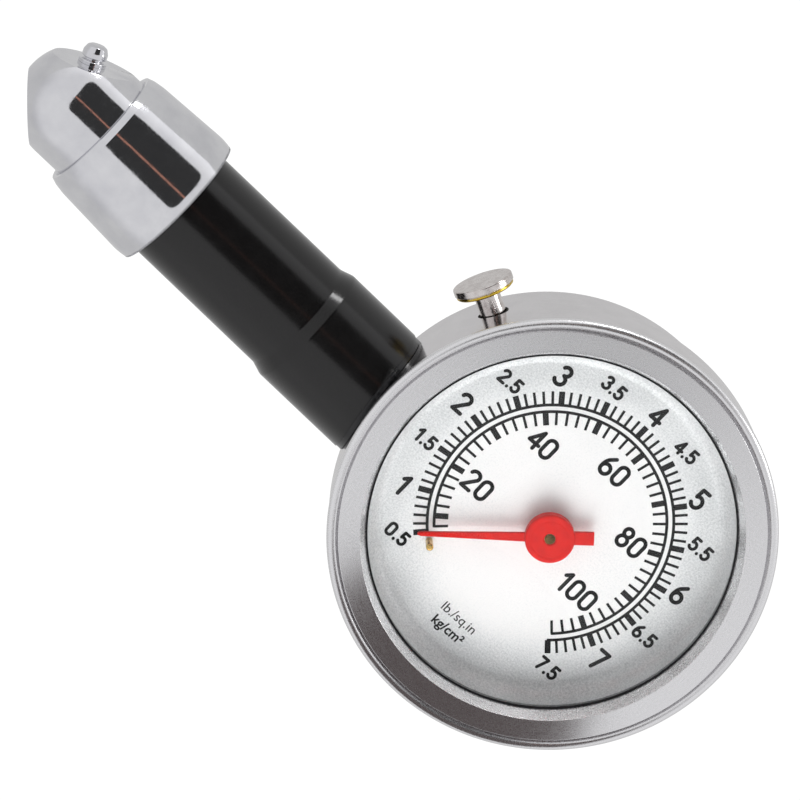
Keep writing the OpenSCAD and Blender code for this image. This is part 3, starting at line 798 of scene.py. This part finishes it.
def make_stop_pin():
    place = Matrix.Translation(Vector((middle("stop_pin").x, middle("stop_pin").y, 0)))
    low, top, r = extent("stop_pin", place)
    pin = turned("stop_pin_turned", rounded([
        (0, low, 0), (r, low, 0.02), (r, top, 0.2), (0, top, 0)], 5), place, 48)
    dress(pin, "body", MATERIALS["brass"], "brass", "stop_pin")


# ---------------------------------------------------------------- release button

def make_button():
    """Turned button with a waisted stem and a flat head, and the seal round its stem."""
    low, top, r = extent("release_button", BUTTON)
    rod_r = 0.45
    stem_r = 1.45
    button = turned("button_turned", rounded([
        (0, low, 0), (rod_r, low, 0.1), (rod_r, CASE_R - 0.1, 0), (stem_r, CASE_R - 0.1, 0.12),
        (stem_r, top - 1.7, 0), (stem_r - 0.12, top - 1.62, 0), (stem_r - 0.12, top - 1.42, 0),
        (stem_r + 0.1, top - 1.3, 0), (r - 0.35, top - 1.3, 0.1), (r - 0.12, top - 1.12, 0.1),
        (r - 0.12, top - 0.95, 0.03), (r - 0.2, top - 0.9, 0.02), (r - 0.2, top - 0.84, 0.02),
        (r, top - 0.78, 0.06), (r, top, 0.16), (0, top, 0)], 5), BUTTON, 128)
    dress(button, "button", MATERIALS["button_nickel"], "nickel", "release_button")
    low, top, r = extent("button_seal", BUTTON)
    seal = turned("button_seal_ring", rounded([
        (1.53, low, 0.05), (r, low, 0.05), (r, top, 0.08), (1.53, top, 0.08)], 4), BUTTON, 96)
    dress(seal, "body", MATERIALS["black_rubber"], "black_rubber", "button_seal")


# ---------------------------------------------------------------- neck and chuck

def make_sleeve():
    """Moulded sleeve: thick root, soft step and a long taper into the collar."""
    _, high, root = extent("rubber_sleeve", NECK)
    start, shoulder, step = 22, 28.7, 36.5
    mid, end = root - 0.48, root - 0.55
    boss_bore, tube_bore = 5.3, 4.45
    sleeve = turned("sleeve_moulded", rounded([
        (boss_bore, start, 0), (root, start, 0), (root, step - 1.7, 1.0), (mid, step - 0.2, 1.0),
        (end, high - 4.2, 0), (end - 0.02, high, 0.1), (tube_bore, high, 0.1), (tube_bore, shoulder, 0),
        (boss_bore, shoulder, 0)], 8), NECK)
    lip_r = min(r for r, _ in section("rubber_sleeve", UPRIGHT))
    lip = turned("lip", [(0, -1), (lip_r, -1), (lip_r, 40), (0, 40)], UPRIGHT, 256)
    cut(sleeve, lip)
    dress(sleeve, "body", MATERIALS["sleeve_rubber"], "sleeve_rubber", "rubber_sleeve")


def make_collar():
    """Plated collar: slightly barrelled, with a rounded far edge and a grip on the tube."""
    low, high, r = extent("collar", NECK)
    far = r - 0.5
    inner = HEAD_R + 0.05
    grip = r - 1.35
    floor = low + 3.7
    collar = turned("collar_turned", rounded([
        (grip, low, 0.05), (r - 0.15, low, 0.1), (r, low + 1.1, 7), (far + 0.04, high - 2, 7),
        (far - 0.16, high - 0.75, 0.12), (far - 0.42, high, 0.10), (inner + 0.3, high, 0.12),
        (inner, high - 0.7, 0), (inner, floor, 0), (grip, floor, 0)], 6), NECK, 256)
    dress(collar, "body", MATERIALS["chrome"], "chrome", "collar")


def make_head():
    """Ball-ended shank, with the lipped inlet bore and the deflator's flat."""
    inlet_r = mounts["valve_inlet"]["dims"]["r_mm"]
    flat = 5.0
    outline = [(0, HEAD_LOW), (HEAD_R, HEAD_LOW), (HEAD_R, BALL_U - 0.2)]
    outline += [(HEAD_R * math.cos(a), BALL_U + HEAD_R * math.sin(a))
                for a in (math.radians(3 * i) for i in range(30))]
    head = turned("chuck_turned", outline + [(0, BALL_U + HEAD_R)], NECK, 256)
    rim = math.sqrt(HEAD_R ** 2 - inlet_r ** 2)
    lip = 0.75
    bore = turned("bore", [(0, -1), (4.25, -1), (4.25, 0.8), (inlet_r, 0.8), (inlet_r, rim - lip)]
                  + [(inlet_r + lip * (1 - math.cos(a)), rim - lip + lip * math.sin(a))
                     for a in (math.radians(12 * i) for i in range(1, 8))]
                  + [(inlet_r + 3, rim + 2), (0, rim + 2)], on_head(INLET_OUT), 128)
    face = turned("face", [(0, flat), (8, flat), (8, 9), (0, 9)], on_head(DEFLATOR_OUT), 128)
    passage = turned("passage", [(0, -2.4), (0.8, -2.4), (0.8, 0), (0, 0)], on_head(INLET_OUT), 48)
    cut(head, bore, face, passage)
    dress(head, "body", MATERIALS["chrome"], "chrome", "chuck_head")


def make_deflator_pin():
    """Stepped pin with a waist, on the chuck's flat."""
    place = on_head(DEFLATOR_OUT)
    low, top, r = extent("deflator_pin", place)
    seat = top - 2.2
    pin = turned("deflator_turned", rounded([
        (0, low, 0), (1.0, low, 0.1), (1.0, seat, 0), (r, seat, 0.02), (r, seat + 0.45, 0.12),
        (1.1, seat + 0.5, 0.06), (1.1, seat + 0.7, 0.06), (1.4, seat + 0.76, 0.1), (1.4, seat + 1.4, 0.2),
        (1.12, seat + 2.0, 0.2), (0.75, top, 0.2), (0, top, 0)], 5), place, 96)
    dress(pin, "body", MATERIALS["chrome"], "chrome", "deflator_pin")


def make_gasket():
    """Rubber washer with a shallow groove, at the bottom of the inlet."""
    place = on_head(INLET_OUT)
    low, top, r = extent("inlet_gasket", place)
    ring = turned("gasket_moulded", rounded([
        (1.5, low, 0.05), (r, low, 0.1), (r, top, 0.1), (3.6, top, 0.1), (3.3, top - 0.25, 0.1),
        (2.4, top - 0.25, 0.1), (2.1, top, 0.1), (1.5, top, 0.3)], 5), place, 96)
    dress(ring, "body", MATERIALS["black_rubber"], "black_rubber", "inlet_gasket")


# ---------------------------------------------------------------- CAD nodes that stay

CAD_LOOKS = {
    "dial": "dial_silver", "dial_seat": "white_plastic", "crystal_gasket": "black_rubber",
    # The pointer arbor's end takes the nearly black brass, as painted shade in the hub's recess.
    "pointer_arbor": "old_brass", "hairspring": "spring_steel", "bottom_plate": "brass",
    "top_plate": "brass", "pillars": "brass", "plate_screws": "steel", "foot_screws": "steel",
    "sector_gear": "brass", "sector_arbor": "steel", "link_rod": "brass", "link_pin": "steel",
    "bourdon_tube": "bronze", "tube_tip": "brass", "socket_block": "brass", "valve_body": "brass",
    "valve_seat": "black_rubber", "valve_spring": "steel", "valve_disc": "black_rubber",
    "neck_boss": "black_gloss", "stem_tube": "brass", "depressor_pin": "brass",
    "check_seat": "black_rubber", "check_poppet": "brass", "check_spring": "steel",
}


def dress_cad_nodes():
    for node, look in CAD_LOOKS.items():
        piece = frame["nodes"][node]
        piece.data.materials.clear()
        piece.data.materials.append(MATERIALS[look])


# ---------------------------------------------------------------- studio

NECK_OUT = -IN_NECK
FACING = (BACK - NECK_OUT * BACK.dot(NECK_OUT)).normalized()
ACROSS = (RIGHT + UP - NECK_OUT * (RIGHT + UP).dot(NECK_OUT)).normalized()


def make_floor():
    """Plain white floor, which lights the metal less than it shows to the camera."""
    bm = bmesh.new()
    bmesh.ops.create_grid(bm, x_segments=1, y_segments=1, size=1.5)
    floor = link("floor", finish_mesh(bm, "floor"))
    floor.location.z = -0.0002
    s = Shader("studio_floor")
    path = s.add("ShaderNodeLightPath")
    glow = s.add("ShaderNodeEmission")
    s.join(s.span(path.outputs["Is Camera Ray"], 0, 1, 0.62, 1.05), glow.inputs["Strength"])
    s.join(glow.outputs[0], s.out.inputs[0])
    floor.data.materials.append(s.material)


def add_lamp(name, direction, distance, size, strength):
    """Soft rectangular light that faces the gauge from a direction; strength is its brightness."""
    data = bpy.data.lights.new(name, "AREA")
    data.shape = "RECTANGLE"
    data.size, data.size_y = size
    data.energy = strength * math.pi * size[0] * size[1]
    lamp = bpy.data.objects.new(name, data)
    bpy.context.scene.collection.objects.link(lamp)
    way = direction.normalized()
    lamp.location = AIM + way * distance
    lamp.rotation_euler = way.to_track_quat("Z", "Y").to_euler()
    return lamp


def add_flag():
    """Dark round card above the dial's lower left, seen only in the metal."""
    way = RIGHT * -0.53 + UP * -0.85
    way.z = 0
    mirror = Vector((-BACK.x, -BACK.y, BACK.z))
    spot = way.normalized() * BEZEL_R * MM + Vector((0, 0, BEZEL_TOP * MM))
    bm = bmesh.new()
    bmesh.ops.create_circle(bm, cap_ends=True, segments=48, radius=19 * MM)
    flag = link("flag", finish_mesh(bm, "flag"), axis_frame(spot + mirror * 20 * MM, mirror))
    for ray in ("camera", "diffuse", "shadow", "transmission"):
        setattr(flag, "visible_" + ray, False)
    s = Shader("flag_black")
    card = s.add("ShaderNodeEmission")
    card.inputs["Color"].default_value = (0.075, 0.06, 0.06, 1)
    s.join(card.outputs[0], s.out.inputs[0])
    flag.data.materials.append(s.material)


def make_sky():
    """White light tent, brighter low on one side, with a dark opening overhead and a warm line in it."""
    world = bpy.data.worlds.new("tent")
    bpy.context.scene.world = world
    world.use_nodes = True
    n = Nodes(world.node_tree)
    where = n.add("ShaderNodeTexCoord")

    def along(direction):
        node = n.add("ShaderNodeVectorMath", operation="DOT_PRODUCT")
        node.inputs[1].default_value = direction
        n.join(where.outputs["Generated"], node.inputs[0])
        return node.outputs["Value"]

    def reach(value, centre, half):
        offset = n.math("DIVIDE", n.math("SUBTRACT", value, centre), half)
        return n.math("POWER", n.math("ABSOLUTE", offset), 4)

    deg = math.radians
    across = n.math("ARCTAN2", along(ACROSS), along(FACING))
    outward = along(NECK_OUT)
    edge = n.math("ADD", reach(across, deg(21), deg(36)), reach(outward, 0.03, 0.33))
    opening = n.span(edge, 0.85, 1.1, 1, 0)
    line = n.math("MULTIPLY", n.span(reach(across, deg(12), deg(1.6)), 0.2, 1, 1, 0), opening)
    low_band = n.span(along(Vector((0, 0, 1))), 0.0, 0.4, 1, 0)
    side = along((ACROSS * 0.8 + RIGHT * 0.4).normalized())
    bright = n.math("MULTIPLY", low_band, n.span(side, 0.15, 0.85, 0, 0.25))
    dark = n.math("MULTIPLY", low_band, n.span(side, -0.4, 0.4, 0.15, 0))
    level = n.math("SUBTRACT", n.math("ADD", 0.78, bright), dark)
    level = n.math("MULTIPLY", level, n.math("SUBTRACT", 1.0, n.math("MULTIPLY", opening, 0.95)))
    out = n.add("ShaderNodeOutputWorld")
    both = n.add("ShaderNodeAddShader")
    for socket, colour, strength in ((0, (0.985, 0.985, 1.0, 1), level),
                                     (1, (1.0, 0.42, 0.28, 1), n.math("MULTIPLY", line, 0.4))):
        shade = n.add("ShaderNodeBackground")
        shade.inputs["Color"].default_value = colour
        n.join(strength, shade.inputs["Strength"])
        n.join(shade.outputs[0], both.inputs[socket])
    n.join(both.outputs[0], out.inputs[0])


def make_studio():
    make_floor()
    make_sky()
    add_flag()
    up = Vector((0, 0, 1))
    add_lamp("key", up * 0.55 - UP * 0.85, 0.6, (0.4, 0.4), 3.7).visible_glossy = False
    add_lamp("window", ACROSS * 0.94 + FACING * 0.17 + NECK_OUT * 0.35, 0.55, (0.14, 0.12), 13.0)
    add_lamp("side", RIGHT * 0.95 + BACK * 0.2, 0.6, (0.10, 0.2), 6.0)
    bpy.context.scene.view_settings.view_transform = "Standard"


# ---------------------------------------------------------------- build

make_case()
make_bezel()
make_window()
make_dial_ring()
make_scales()
make_numbers()
make_units()
make_pointer()
make_stop_pin()
make_button()
make_sleeve()
make_collar()
make_head()
make_deflator_pin()
make_gasket()
dress_cad_nodes()
make_studio()
